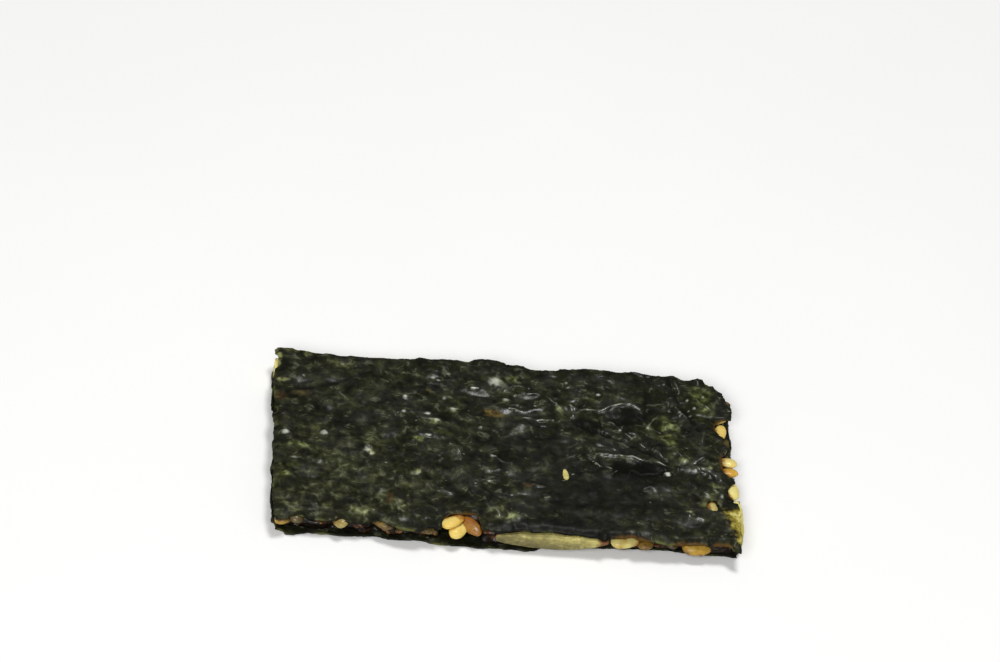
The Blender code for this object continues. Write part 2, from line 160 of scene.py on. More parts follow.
# wrinkles that stand out on the upper sheet: height, half width, then the points that each runs through
WRINKLES = (
    (0.2, 0.2, (6.75, 6.7), (7.85, 6.1), (8.95, 6.1), (10.05, 6.3), (11.05, 7.0), (13.15, 7.7),
     (14.35, 7.1)),
    (0.16, 0.18, (6.95, 6.7), (7.15, 5.4)), (0.18, 0.15, (10.25, 5.4), (10.15, 4.9), (10.15, 4.4)),
    (0.2, 0.15, (10.95, 4.8), (12.15, 3.7)), (0.12, 0.15, (12.25, 3.3), (13.05, 2.7)),
    (0.2, 0.19, (16.05, 6.0), (15.35, 5.2), (14.95, 4.3), (15.05, 3.8)),
    (0.13, 0.16, (15.65, 4.0), (16.25, 3.7)), (0.14, 0.12, (17.65, 11.7), (17.95, 10.2)),
    (0.15, 0.13, (17.95, 11.6), (18.65, 9.7)), (0.15, 0.12, (19.35, 9.1), (20.25, 7.8)),
    (0.16, 0.13, (20.25, 9.2), (21.25, 8.1)), (0.16, 0.16, (18.05, 7.7), (19.15, 6.3)),
    (-0.22, 0.32, (18.95, 7.7), (20.25, 4.5)), (0.19, 0.24, (7.15, 2.5), (8.05, 1.4)),
    (0.2, 0.19, (9.05, -0.9), (9.25, -0.3), (9.75, -0.1), (13.05, -0.1), (14.25, -0.5), (16.35, -1.2),
     (17.65, -1.5)),
    (0.19, 0.2, (9.25, -1.8), (9.55, -2.1), (10.25, -2.3), (10.75, -2.5)),
    (0.13, 0.17, (11.45, -2.5), (10.95, -3.2)), (0.2, 0.14, (16.45, -2.4), (16.95, -2.0)),
    (0.16, 0.16, (14.05, 1.7), (14.75, 1.2), (15.85, 0.5), (16.35, -0.1), (16.95, -0.2)),
    (0.17, 0.18, (17.75, 1.0), (18.35, 0.4), (18.65, -0.2)),
    (0.19, 0.17, (19.85, -1.0), (20.25, -1.8), (20.95, -2.0), (21.45, -2.5)),
    (0.16, 0.15, (19.75, -0.3), (20.65, 0.3)), (0.16, 0.16, (18.85, -3.3), (19.55, -4.0)),
    (0.13, 0.18, (14.05, -4.8), (14.85, -4.5)), (0.18, 0.22, (21.55, -4.1), (22.45, -5.2)),
    (-0.04, 0.26, (-22.65, 5.9), (-19.95, 6.6), (-17.55, 7.6), (-13.95, 9.5)),
    (0.15, 0.16, (-10.65, 4.0), (-9.35, 4.0), (-7.85, 4.0)),
    (0.15, 0.16, (-9.25, 3.4), (-8.25, 3.2), (-7.15, 3.1)), (0.13, 0.16, (-9.15, 0.7), (-7.85, 0.5)),
    (0.12, 0.18, (-8.15, 8.0), (-7.35, 7.3)), (0.14, 0.22, (-14.45, -1.4), (-14.05, -1.8), (-14.05, -2.5)),
    (0.2, 0.18, (-6.15, 5.3), (-5.15, 4.8)), (0.18, 0.14, (-3.55, 8.1), (-2.75, 8.1)),
    (0.16, 0.15, (-0.05, 8.3), (0.55, 8.9), (1.25, 9.1), (2.15, 9.0), (2.65, 8.8)),
    (0.18, 0.17, (-0.25, 7.2), (0.35, 6.8)), (0.15, 0.14, (0.45, 6.1), (1.25, 6.4), (1.75, 7.0)),
    (0.15, 0.14, (0.45, 5.7), (1.35, 5.6), (2.25, 5.5), (3.05, 5.9), (3.95, 6.0)),
    (0.17, 0.15, (1.95, 4.5), (2.85, 4.3), (3.85, 4.4), (5.05, 4.5)),
    (0.13, 0.14, (3.35, 3.7), (4.15, 3.7), (4.85, 3.9)), (0.13, 0.14, (2.45, 7.9), (3.65, 8.1)),
    (0.14, 0.15, (3.95, 7.5), (4.65, 6.7)), (0.15, 0.14, (4.35, 7.9), (5.45, 6.8)),
    (0.12, 0.15, (-8.35, -2.2), (-6.95, -2.2)), (0.12, 0.15, (-5.15, -0.9), (-4.75, -1.7), (-4.75, -2.4)),
    (0.04, 0.13, (-7.05, 9.3), (-6.05, 9.3), (-4.75, 9.3)), (0.08, 0.16, (-8.45, 10.2), (-7.75, 10.8)),
    (-0.06, 0.22, (-8.25, 10.2), (-6.75, 10.0)), (-0.06, 0.24, (-8.25, 8.5), (-6.75, 8.3)),
    (0.13, 0.13, (22.3, -8.6), (22.9, -9.9), (23.6, -12.0)),
    (-0.2, 0.42, (7.1, 4.6), (8.0, 4.1), (9.05, 3.3)),
    (-0.16, 0.27, (9.05, 3.3), (10.5, 2.9), (11.9, 2.1), (13.6, 1.4), (15.2, 0.1), (16.8, -0.75)),
    (-0.11, 0.2, (14.95, 10.6), (14.95, 8.5), (14.75, 6.3), (14.9, 4.5)),
    (-0.16, 0.24, (17.4, 11.6), (17.8, 10.3), (18.4, 8.4)),
    (0.18, 0.17, (-2.15, -1.0), (-1.35, -1.6), (-0.45, -2.3), (0.45, -2.5)),
    (0.12, 0.17, (-1.85, -3.8), (-0.85, -3.5)), (0.13, 0.17, (-3.45, -6.0), (-2.55, -5.3), (-1.25, -5.1)),
    (0.13, 0.17, (1.55, -5.1), (2.65, -5.3), (3.95, -5.6)), (0.14, 0.17, (3.65, -7.2), (4.35, -7.0)),
    (0.16, 0.24, (-1.75, -8.2), (-1.05, -10.0)), (0.11, 0.16, (-7.35, -7.1), (-5.95, -7.4)),
    (0.12, 0.18, (15.65, -7.0), (16.35, -7.7)), (0.18, 0.18, (18.35, -8.1), (18.65, -8.3)),
    (0.14, 0.2, (19.45, -8.5), (20.15, -8.7)),
)
# smooth hollows and mounds of the upper sheet: x, y, half sizes, rise
MOUNDS = (
    (12.75, 5.6, 1.8, 1.3, -0.2), (13.55, -1.8, 3.6, 1.0, -0.2), (8.75, 4.1, 1.5, 0.9, -0.16),
    (15.95, 4.9, 0.7, 0.8, -0.12), (-22.85, -0.2, 0.4, 0.25, 0.16), (-18.95, 0.2, 0.4, 0.25, 0.16),
    (-0.85, 9.5, 1.0, 0.9, 0.12), (-10.45, 6.3, 0.3, 0.25, 0.12), (-2.65, 2.5, 0.3, 0.2, 0.12),
    (6.05, 10.2, 0.6, 0.25, 0.1), (9.45, 8.9, 0.3, 0.2, 0.1),
)
# where the upper sheet's colour differs: x, y, half sizes, how much lighter and how much greener it is.
# Some are paler and greener patches of the sheet itself; the darker ones are partly painted shade in
# hollows, under wrinkles and along the front rim, and the palest are partly painted sheen
ZONES = (
    (-16.7, -4.0, 10.0, 10.0, 0.17, 0.1), (14.0, 9.0, 7.0, 3.2, -0.16, 0.0),
    (-16.7, -6.6, 7.0, 5.0, 0.18, 0.15), (9.5, -6.8, 7.0, 4.8, -0.42, -0.9),
    (1.4, -1.1, 5.4, 3.6, -0.15, -0.5), (12.6, 5.7, 2.3, 1.8, -0.5, -0.3),
    (12.4, 1.1, 3.4, 1.0, -0.55, -0.2), (19.3, 5.4, 1.1, 2.1, -0.5, -0.2),
    (15.2, 8.5, 0.5, 2.7, -0.45, 0.0), (4.8, 1.4, 1.6, 1.9, -0.3, -0.7), (-7.8, 8.3, 1.2, 0.9, -0.45, 0.0),
    (-21.1, 3.2, 1.6, 1.2, -0.3, -0.3), (-16.7, 2.1, 1.8, 1.5, -0.3, -0.3),
    (20.4, 3.1, 0.8, 1.2, -0.5, 0.0), (20.7, 8.4, 1.7, 3.1, 0.18, 1.6), (4.5, -11.5, 6.6, 1.3, -0.62, -1.6),
    (14.2, -2.6, 3.9, 1.7, -0.62, -0.6), (18.2, 2.1, 2.8, 3.0, 0.2, 0.3),
    (-14.2, -2.2, 0.6, 0.8, 1.6, -0.5), (-9.6, -5.2, 0.5, 0.5, 1.7, 0.0),
    (-15.0, -10.6, 1.6, 0.9, 1.1, 0.2), (-11.5, -9.7, 0.7, 0.8, 1.2, 0.1),
    (-21.4, -2.0, 1.3, 0.5, 1.2, 1.4), (-22.9, -6.0, 0.9, 1.1, 1.2, 0.9), (7.7, 2.1, 0.6, 0.5, 1.3, 0.0),
    (10.1, -1.5, 0.9, 0.6, 0.9, -0.6), (15.3, 4.8, 0.5, 1.3, 1.0, 0.2), (16.9, 5.1, 1.3, 1.2, 1.15, 1.6),
    (17.0, 2.7, 1.0, 1.1, 1.1, 1.5), (18.7, 0.1, 0.8, 0.8, 1.0, 0.4), (4.0, -7.1, 0.6, 0.5, 1.2, -0.4),
    (-5.3, 4.8, 0.8, 0.6, 1.3, 0.3), (-7.9, 2.8, 1.1, 0.5, 1.5, 0.2), (-10.2, 4.0, 0.5, 0.5, 1.4, 0.5),
    (-0.8, 9.4, 1.2, 1.2, 1.2, -1.2), (0.9, 10.0, 0.6, 0.7, 1.5, 1.0), (-0.9, -9.9, 1.4, 1.3, 1.25, 0.3),
    (0.6, -10.6, 1.1, 0.6, 0.9, 0.8), (21.0, 9.6, 1.1, 1.5, 0.9, 1.6), (21.5, 7.2, 0.7, 0.9, 1.0, 1.6),
    (-22.1, -10.1, 1.4, 1.4, 0.8, 0.2), (21.2, -1.3, 0.6, 0.5, 1.4, 0.0), (14.5, -4.9, 0.6, 0.5, 1.1, -0.2),
    (18.8, -7.8, 0.5, 0.5, 1.7, 0.2), (-9.0, 0.0, 0.9, 0.4, 1.1, 1.2), (-6.4, 1.0, 0.8, 0.4, 0.9, 1.0),
    (-17.3, 10.3, 1.6, 0.7, 0.8, 0.7), (-20.6, 11.9, 0.9, 0.7, 0.9, 0.9), (-11.5, 9.9, 0.9, 0.7, 0.7, 0.0),
    (5.8, 6.0, 0.6, 0.6, 1.3, 0.0), (21.6, -4.0, 0.7, 1.1, 1.2, 0.9),
)
# painted highlights, bright specks where light glints on the upper sheet: x, y, half sizes, strength
GLINTS = (
    (-22.9, -0.43, 0.5, 0.4, 0.55), (-18.94, -0.02, 0.44, 0.34, 0.45), (9.9, 8.6, 0.3, 0.2, 1.0),
    (16.75, -2.3, 0.38, 0.32, 0.9), (19.35, 8.85, 0.17, 0.2, 0.6), (20.04, 7.79, 0.18, 0.22, 0.6),
    (18.51, 7.02, 0.16, 0.22, 0.5), (19.55, 6.68, 0.16, 0.2, 0.4), (21.1, 9.72, 0.18, 0.2, 0.5),
    (22.23, -5.02, 0.22, 0.34, 0.4), (6.57, 10.13, 0.18, 0.2, 0.4), (6.75, 9.39, 0.2, 0.16, 0.4),
    (14.98, 4.25, 0.18, 0.3, 0.5), (12.0, 3.64, 0.2, 0.18, 0.5), (15.37, 12.08, 0.24, 0.18, 0.4),
    (-2.65, 2.5, 0.24, 0.22, 0.5), (-5.4, 5.0, 0.5, 0.3, 0.75), (-3.25, 8.0, 0.42, 0.17, 0.75),
    (-10.45, 6.25, 0.28, 0.34, 0.65), (-10.6, 4.0, 0.3, 0.26, 0.55), (-7.15, 3.1, 0.42, 0.3, 0.45),
    (-8.1, 3.95, 0.36, 0.24, 0.4), (-8.15, 0.55, 0.45, 0.2, 0.45), (-1.4, -1.55, 0.42, 0.24, 0.5),
    (0.15, 6.9, 0.42, 0.3, 0.45), (1.1, 7.7, 0.2, 0.2, 0.4), (2.25, 4.4, 0.5, 0.16, 0.4),
    (-7.5, 9.5, 0.3, 0.2, 0.5), (-6.35, 6.55, 0.24, 0.26, 0.4), (-14.5, -2.05, 0.4, 0.55, 0.38),
    (-22.0, -4.1, 0.5, 0.2, 0.35), (-9.55, -5.2, 0.45, 0.3, 0.4), (-0.95, 9.4, 0.95, 0.85, 0.5),
)
# stretches of the rim that syrup has soaked through: x, y, half sizes
SOAKED = (
    (22.6, 5.2, 2.0, 2.4), (23.0, -0.2, 1.6, 2.2), (12.6, -12.3, 2.8, 1.4), (18.6, -12.3, 2.6, 1.4),
    (22.0, -12.0, 1.5, 1.1), (-4.9, -11.2, 3.2, 2.6),
)
HOLLOWS = [mound for mound in MOUNDS if mound[4] < 0]
CALM = ((-2.9, 7.6, 1.5, 1.5), (-9.9, 8.0, 0.8, 0.8))  # spots without fine creases: x, y, half sizes

# the fringe, where the upper sheet has worn thin by its front right corner: a point of its inner edge and
# how fast that runs out towards the front, then along the right edge its middle, and from there how far
# it is whole and where it ends
FRINGE_LINE = (21.9, -7.25, 0.314)
FRINGE_MIDDLE = -9.3
FRINGE_HALF = (1.7, 3.1)

WRINKLE_REACH = 3.2  # half widths from its line, how far a wrinkle can be felt
# the box in plan that each wrinkle can be felt in: its lowest and highest x, then y
WRINKLE_BOXES = [
    [
        pick(point[axis] for point in points) + side * WRINKLE_REACH * half_width
        for axis in (0, 1)
        for pick, side in ((min, -1), (max, 1))
    ]
    for _, half_width, *points in WRINKLES
]


def slow_noise(x, y, size, layer):
    """Smooth noise of about -1 to 1 whose swells are about `size` across."""
    return noise.noise(Vector((x / size, y / size, layer * 7.31)))


def clamp(value, low=0.0, high=1.0):
    """The value, held between two limits."""
    return min(max(value, low), high)


def ease(value, low, high):
    """0 at low, 1 at high and a smooth way between them."""
    t = clamp((value - low) / (high - low))
    return t * t * (3 - 2 * t)


def bell(way, half):
    """1 in the middle, falling smoothly away from it."""
    return math.exp(-((way / half) ** 2))


def bent(x, y, reach, size, layer):
    """A point in plan, moved by slow noise so that what lies there looks grown."""
    return x + reach * slow_noise(x, y, size, layer), y + reach * slow_noise(x, y, size, layer + 1)


def way_to(x, y, spot):
    """Distance in plan from the middle of a spot, in the half sizes that follow its x and y."""
    return math.hypot((x - spot[0]) / spot[2], (y - spot[1]) / spot[3])


def way_to_nearest(x, y, spots):
    """Distance from a point to the nearest of some spots, in that spot's half sizes."""
    return min(way_to(x, y, spot) for spot in spots)


def sag(x, y):
    """Height of the lower sheet's underside."""
    return max(0.0, 0.42 * slow_noise(x, y, 8.5, 1) - 0.05)


def swell(x, y):
    """Slow rise and fall of the layers."""
    return 0.2 * slow_noise(x, y, 10.0, 2) + 0.05


def lumps(x, y):
    """Rise of the upper sheet over the seeds and nuts under it."""
    seeds = max(0.0, slow_noise(x, y, 2.4, 3)) * 0.42
    nuts = max(0.0, slow_noise(x, y, 5.5, 4)) * 0.45
    return seeds + nuts


def nick(along, place, half_width, depth):
    """Depth of one nick at a point along an edge."""
    t = abs(along - place) / half_width
    return depth * math.sqrt(1 - t**3) if t < 1 else 0.0


def rim_offset(edge, along, nicks, layer, fray=0.0):
    """How far a rim stands out past its straight line at a point along it."""
    side = EDGES.index(edge) * 5
    ragged = 0.22 * slow_noise(along, side, 1.7, layer)
    frayed = slow_noise(along, side, 0.42, layer + 20) + 0.6 * slow_noise(along, side, 0.17, layer + 30)
    return ragged + fray * frayed - sum(nick(along, *n) for n in nicks[edge])


def plan(length, width, nicks, layer, fray=0.0):
    """A function that places a grid point (u, v), each from 0 to 1, in an oblong with ragged rims."""

    def place(u, v):
        x, y = (u - 0.5) * length, (v - 0.5) * width
        front, back = (rim_offset(edge, x, nicks, layer, fray) for edge in ("front", "back"))
        left, right = (rim_offset(edge, y, nicks, layer, fray) for edge in ("left", "right"))
        out_x = right * u ** (2 * RIM_POWER) - left * (1 - u) ** (2 * RIM_POWER)
        out_y = back * v**RIM_POWER - front * (1 - v) ** RIM_POWER
        return x + out_x, y + out_y

    return place


def way_to_line(x, y, points):
    """Distance in plan from a point to a line of points."""
    best = 99.0
    for (ax, ay), (bx, by) in zip(points, points[1:]):
        run_x, run_y = bx - ax, by - ay
        t = clamp(((x - ax) * run_x + (y - ay) * run_y) / (run_x**2 + run_y**2))
        best = min(best, math.hypot(x - ax - t * run_x, y - ay - t * run_y))
    return best


def wrinkles(x, y):
    """Rise of the upper sheet in its wrinkles and mounds, and how near a crest or a groove it is."""
    bent_x, bent_y = bent(x, y, 0.16, 0.9, 41)
    uneven = 0.8 + 0.5 * slow_noise(x, y, 0.9, 43)
    rise, crest, groove = 0.0, 0.0, 0.0
    for (height, half_width, *points), box in zip(WRINKLES, WRINKLE_BOXES):
        if box[0] < bent_x < box[1] and box[2] < bent_y < box[3]:
            way = way_to_line(bent_x, bent_y, points) / half_width
            share = math.exp(-(way**1.5)) * uneven
            rise += height * share
            crest = max(crest, share**2 * height / 0.2)
            groove = max(groove, share if height < 0 else 0.0)
    for mound in MOUNDS:
        way = way_to(x, y, mound)
        if way < 2.5:
            rise += mound[4] * bell(way, 1)
    return rise, crest, groove


def toning(x, y):
    """How much lighter and how much greener the upper sheet is at a point."""
    bent_x, bent_y = bent(x, y, 0.5, 0.8, 71)
    lighter, greener = 0.0, 0.0
    for zone in ZONES:
        way = way_to(bent_x, bent_y, zone)
        if way < 1.4:
            share = 1 - ease(way, 0.4, 1.4)
            lighter, greener = lighter + share * zone[4], greener + share * zone[5]
    return lighter, greener


def thinned(x, y):
    """How thin the upper sheet has worn in its fringe, from 0 to 1."""
    start_x, start_y, lean = FRINGE_LINE
    past = x - start_x - lean * (start_y - y) + 0.5 * slow_noise(x, y, 0.7, 81)
    return ease(past, -0.3, 2.1) * (1 - ease(abs(y - FRINGE_MIDDLE), *FRINGE_HALF))


def soaked(x, y, way):
    """How much syrup has soaked through the upper sheet at a point, `way` from its rim, from 0 to 1."""
    near = 1 - ease(way_to_nearest(x, y, SOAKED), 0.4, 1.0)
    return near * math.exp(-way / (0.35 + 0.3 * slow_noise(x, y, 0.9, 83)))


def glint(x, y):
    """How far a point is in one of the upper sheet's painted highlights, from 0 to 1."""
    ways = ((way_to(x, y, spot), spot[4]) for spot in GLINTS)
    return max((strength * (1 - ease(way, 0.3, 1.0)) for way, strength in ways if way < 1), default=0.0)


def smoothness(x, y):
    """How far a point lies in one of the upper sheet's smooth hollows, from 0 to 1."""
    return 1 - ease(way_to_nearest(x, y, HOLLOWS) + 0.3 * slow_noise(x, y, 0.8, 59), 0.6, 1.3)


def crinkle(x, y):
    """Rise of the upper sheet in the net of fine creases that cover its right and back parts."""
    part = ease(y + 0.25 * x + 3 * slow_noise(x, y, 7.0, 50), -4.0, 3.0)
    part = 0.12 + 0.88 * part * (0.12 + 0.88 * ease(x, -2.0, 8.0))
    part *= ease(way_to_nearest(x, y, CALM), 0.5, 1.0)
    bent_x, bent_y = bent(x, y, 0.9, 2.6, 51)
    width = 0.085 + 0.05 * slow_noise(x, y, 1.8, 56)
    coarse = bell(slow_noise(bent_x, bent_y * 1.3, 3.0, 53), width)
    fine = bell(slow_noise(bent_x * 0.8, bent_y * 1.2, 1.3, 54), 1.2 * width)
    coarse *= ease(slow_noise(x, y, 2.3, 57), -0.15, 0.45)
    fine *= ease(slow_noise(x, y, 1.9, 58), -0.1, 0.4)
    dimples = slow_noise(x * 0.75, y, 0.85, 55)
    net = part * (0.12 * coarse + 0.08 * fine)
    # the second number is how near a crease's crest the point is; the material paints a highlight there
    return net + (0.045 + 0.025 * part) * dimples, 0.38 * part * max(coarse, 0.6 * fine)


def rim_way(u, v, length, width):
    """Distance from a grid point to the nearest edge of its sheet."""
    return min(u * length, (1 - u) * length, v * width, (1 - v) * width)


# ---------------- making meshes


def placed(name, data):
    """A new object in the scene."""
    made = bpy.data.objects.new(name, data)
    bpy.context.scene.collection.objects.link(made)
    return made


def piece_from(name, points, faces, look):
    """A mesh object that rides on the crisp, from points in mm."""
    mesh = bpy.data.meshes.new(name)
    mesh.from_pydata([Vector(p) * MM for p in points], [], faces)
    mesh.update()
    mesh.shade_smooth()
    mesh.materials.append(look)
    made = placed(name, mesh)
    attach(made, "root")
    return made


def mark(piece, name, values):
    """One number for each point of a piece, which its material reads."""
    piece.data.attributes.new(name, "FLOAT", "POINT").data.foreach_set("value", values)


def brick(counts, shape, left_out=None):
    """Points and faces of a box of counts quads each way, whose points shape(a, b, c), each 0 to 1, places.

    left_out(a, b, c) leaves out quads by their middles. The third list holds each point's (a, b, c).
    """
    along, across, up = counts
    numbers, points, faces, places = {}, [], [], []

    def at(i, j, k):
        if (i, j, k) not in numbers:
            numbers[i, j, k] = len(points)
            places.append((i / along, j / across, k / up))
            points.append(shape(*places[-1]))
        return numbers[i, j, k]

    def add(*corners):
        middle = [sum(c[axis] for c in corners) / 4 / counts[axis] for axis in range(3)]
        if left_out is None or not left_out(*middle):
            faces.append([at(*c) for c in corners])

    for i in range(along):
        for j in range(across):
            add((i, j, 0), (i, j + 1, 0), (i + 1, j + 1, 0), (i + 1, j, 0))
            add((i, j, up), (i + 1, j, up), (i + 1, j + 1, up), (i, j + 1, up))
        for k in range(up):
            add((i, 0, k), (i + 1, 0, k), (i + 1, 0, k + 1), (i, 0, k + 1))
            add((i + 1, across, k), (i, across, k), (i, across, k + 1), (i + 1, across, k + 1))
    for j in range(across):
        for k in range(up):
            add((0, j + 1, k), (0, j, k), (0, j, k + 1), (0, j + 1, k + 1))
            add((along, j, k), (along, j + 1, k), (along, j + 1, k + 1), (along, j, k + 1))
    return points, faces, places


# ---------------- the two sheets of nori


def upper_top(x, y, way):
    """Height of the upper sheet's top at a point, `way` from the sheet's edge."""
    height = SHEET_FLOOR + SHEET + swell(x, y) + lumps(x, y) + wrinkles(x, y)[0] + crinkle(x, y)[0]
    front, left = ease(-y, 9.5, 12.2), ease(-x, 6.0, 9.0)
    droop = (0.12 + 0.18 * front + 0.25 * front * left) * bell(way, 0.7)
    curl = 0.1 * slow_noise(x, y, 1.6, 60) * bell(way, 1.1)
    return min(height - droop + curl, TALLEST)


def in_tear(x, y):
    """Whether a point in plan is in the small tear of the upper sheet."""
    return way_to(x, y, TEAR) < 1 + 0.25 * slow_noise(x, y, 0.5, 61)


def marks_at(x, y, way):
    """What the material reads from the upper sheet at a point, `way` from the sheet's edge."""
    _, crest, groove = wrinkles(x, y)
    lighter, greener = toning(x, y)
    return {
        "crest": max(crest, crinkle(x, y)[1]),
        "groove": groove,
        "smooth": smoothness(x, y),
        "fringe": thinned(x, y),
        "glint": glint(x, y),
        "soaked": soaked(x, y, way),
        "lighter": lighter,
        "greener": greener,
    }


def sheet(name, length, width, nicks, layer, pitch, height, outer_up, look):
    """A nori sheet. Its outer face is whole, and of its inner face only the part near the edges is made."""
    place = plan(length, width, nicks, layer, FRAY)

    def closer(a):
        """Moves grid lines towards the right."""
        return a * (1 + CROWDING * (1 - a))

    def way_at(a, b):
        return rim_way(closer(a), b, length, width)

    def shape(a, b, c):
        x, y = place(closer(a), b)
        below = (c - 1 if outer_up else c) * NORI_THICKNESS
        return x, y, height(x, y, way_at(a, b)) + below

    def left_out(a, b, c):
        hidden = way_at(a, b) > HIDDEN_BEYOND and c == (0 if outer_up else 1)
        return hidden or (outer_up and c in (0, 1) and in_tear(*place(closer(a), b)))

    counts = (round(length / pitch), round(width / pitch), 1)
    points, faces, places = brick(counts, shape, left_out)
    made = piece_from(name, points, faces, look)
    ways = [way_at(a, b) for a, b, _ in places]
    mark(made, "rim", [math.exp(-way / RIM_FADE) for way in ways])
    if outer_up:
        marks = [marks_at(x, y, way) for (x, y, _), way in zip(points, ways)]
        for key in marks[0]:
            mark(made, key, [numbers[key] for numbers in marks])
    return made


def make_upper_sheet(look):
    """The upper sheet, with its wrinkles, nicks and tear."""
    made = sheet("upper_nori", LENGTH, WIDTH, UPPER_NICKS, 12, NORI_PITCH, upper_top, True, look)
    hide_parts("upper_sheet")


def lower_bottom(x, y, way):
    """Height of the lower sheet's underside, which lifts a little towards its edges."""
    lift = 0.1 * (1 + slow_noise(x, y, 2.2, 62)) * bell(way, 0.9)
    dimples = 0.03 * (1 + slow_noise(x * 0.6, y, 0.8, 63))
    return sag(x, y) + lift + dimples


def make_lower_sheet(look):
    """The lower sheet, which the crisp lies on, a little longer and narrower than the upper one."""
    size = (LENGTH + 0.2, WIDTH - 0.1)
    made = sheet("lower_nori", *size, LOWER_NICKS, 11, UNDER_PITCH, lower_bottom, False, look)
    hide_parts("lower_sheet")


# ---------------- the filling


def make_syrup(look):
    """The set syrup that holds the seeds: lumpy at the cut edges, with dark gaps. Returns its body."""
    length, width = LENGTH - 2 * SYRUP_INSET, WIDTH - 2 * SYRUP_INSET
    place = plan(length, width, FILLING_NICKS, 13)

    def shape(a, b, c):
        x, y = place(a, b)
        floor = sag(x, y) + NORI_THICKNESS + 0.08
        sunk = 0.75 * bell(rim_way(a, b, length, width), 0.8)
        z = floor + c * (FILLING_TOP + swell(x, y) + lumps(x, y) - sunk - floor)
        out_x, out_y = (a == 1) - (a == 0), (b == 1) - (b == 0)
        if out_x or out_y:
            spot = Vector((x, y, z * 1.5))
            lumpy = noise.noise(spot / 1.5) * 0.65 + noise.noise(spot / 0.55) * 0.3
            bulge = clamp(lumpy, -0.8, 0.6)
            x, y = x + out_x * bulge, y + out_y * bulge
        return x, y, z

    points, faces, _ = brick(SYRUP_QUADS, shape)
    made = piece_from("syrup", points, faces, look)
    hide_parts("filling")
    return BVHTree.FromPolygons(points, faces)


def on_edge(edge, along, inwards):
    """Point in plan at a distance along an edge and inwards from the nominal rim."""
    out_x, out_y = OUTWARDS[edge]
    if out_x:
        return out_x * (LENGTH / 2 - inwards), along
    return along, out_y * (WIDTH / 2 - inwards)


def seed_grid(length, width, thickness, rings=16, around=18, swirl=0):
    """Points, faces and places of one seed along X, blunt at -X and pointed at +X."""
    points, places = [], []
    for ring in range(rings + 1):
        t = (1 - math.cos(math.pi * ring / rings)) / 2
        girth = math.sqrt(max(0.0, 1 - abs(2 * t - 1) ** 2.4)) * (1.14 - 0.4 * t)
        for k in range(around):
            angle = 2 * math.pi * k / around
            side = math.copysign(abs(math.cos(angle)) ** 0.9, math.cos(angle))
            rise = math.copysign(abs(math.sin(angle)) ** 1.15, math.sin(angle))
            p = Vector(((t - 0.5) * length, side * width * girth / 2, rise * thickness * girth / 2))
            uneven = noise.noise(p / 0.55 + Vector((swirl * 3.7, 0, 0)))
            groove = 0.05 * bell(p.y, 0.12) * (1 if rise > 0 else 0.3)
            p *= 1 + 0.06 * uneven
            p.z -= math.copysign(min(groove * girth, abs(p.z)), p.z)
            points.append(p)
            places.append(t)
    faces = [
        (first + k, first + (k + 1) % around, first + around + (k + 1) % around, first + around + k)
        for first in range(0, rings * around, around)
        for k in range(around)
    ]
    return points, faces, places


def seed_pose(seed):
    """Place, turn and size of a seed, which its first six numbers give."""
    x, y, height, turn, tilt, size = seed[:6]
    middle = FILLING_FLOOR + FILLING / 2 + height
    pose = Matrix.Translation((x, y, middle)) @ Matrix.Rotation(math.radians(turn), 4, "Z")
    return pose @ Matrix.Rotation(math.radians(tilt), 4, "X") @ Matrix.Scale(size, 4)


def plain_seed(seed):
    """Points of a seed of the usual size at its place."""
    pose = seed_pose(seed)
    return [pose @ p for p in seed_grid(SEED_LENGTH, SEED_WIDTH, SEED_THICKNESS)[0]]


def meets_flake(points):
    """Whether the points of a seed come into the oblong that a flake takes up."""
    gap = 2 * CLEARANCE
    for edge, start, end, depth, *_ in FLAKES.values():
        corners = [on_edge(edge, start, -1), on_edge(edge, end, depth)]
        spans = ((sorted(c[axis] for c in corners), [p[axis] for p in points]) for axis in (0, 1))
        if all(min(found) < high + gap and max(found) > low - gap for (low, high), found in spans):
            return True
    return False


def drawn_seeds(edge, draw):
    """Seeds along an edge that faces away: along the edge, height, turn, tilt."""
    half = (LENGTH if edge == "back" else WIDTH) / 2
    along = -half + 1.6
    while along < half - 1.4:
        yield along, draw.uniform(-0.35, 0.35), draw.uniform(0, 360), draw.uniform(-22, 22)
        along += SEED_PITCH * draw.uniform(0.8, 1.35)


def rim_seed(edge, along, height, turn, tilt, stand):
    """A seed at a cut edge that stands out past the sheets."""
    x, y = on_edge(edge, along, 0)
    points = plain_seed((x, y, height, turn, tilt, 1))
    if edge == "back":
        y += stand - max(p.y for p in points) + WIDTH / 2
    else:
        x -= stand + min(p.x for p in points) + LENGTH / 2
    return x, y, height, turn, tilt, 1


def rim_seeds():
    """The seeds that show at the cut edges, without those that would meet a flake."""
    draw = random.Random(DRAW)
    found = list(SEEN_SEEDS)
    for edge, stands in SEED_STANDS.items():
        found += [rim_seed(edge, *place, draw.uniform(*stands)) for place in drawn_seeds(edge, draw)]
    return [seed for seed in found if not meets_flake(plain_seed(seed))]


def syrup_and_shade_at(point):
    """How much syrup covers a point of a seed: none at the cut edge and more inwards and downwards;
    towards the bottom this darkening is partly painted shade.
    """
    inwards = min(LENGTH / 2 - abs(point.x), WIDTH / 2 - abs(point.y))
    below = FILLING_FLOOR + 0.55 * FILLING - point.z
    return clamp(max(0.9 * inwards + 0.15, 0.55 * below + 0.25 * inwards))


def bedded(seed, points):
    """How far each point of a seed is down the side that lies in the syrup, from 0 at its bare face to 1."""
    x, y = seed[:2]
    ways = {"front": WIDTH / 2 + y, "back": WIDTH / 2 - y, "left": LENGTH / 2 + x, "right": LENGTH / 2 - x}
    bare = Vector((*OUTWARDS[min(ways, key=ways.get)], 1.2)).normalized()
    heights = [p.dot(bare) for p in points]
    low, high = min(heights), max(heights)
    return [1 - (h - low) / (high - low) for h in heights]


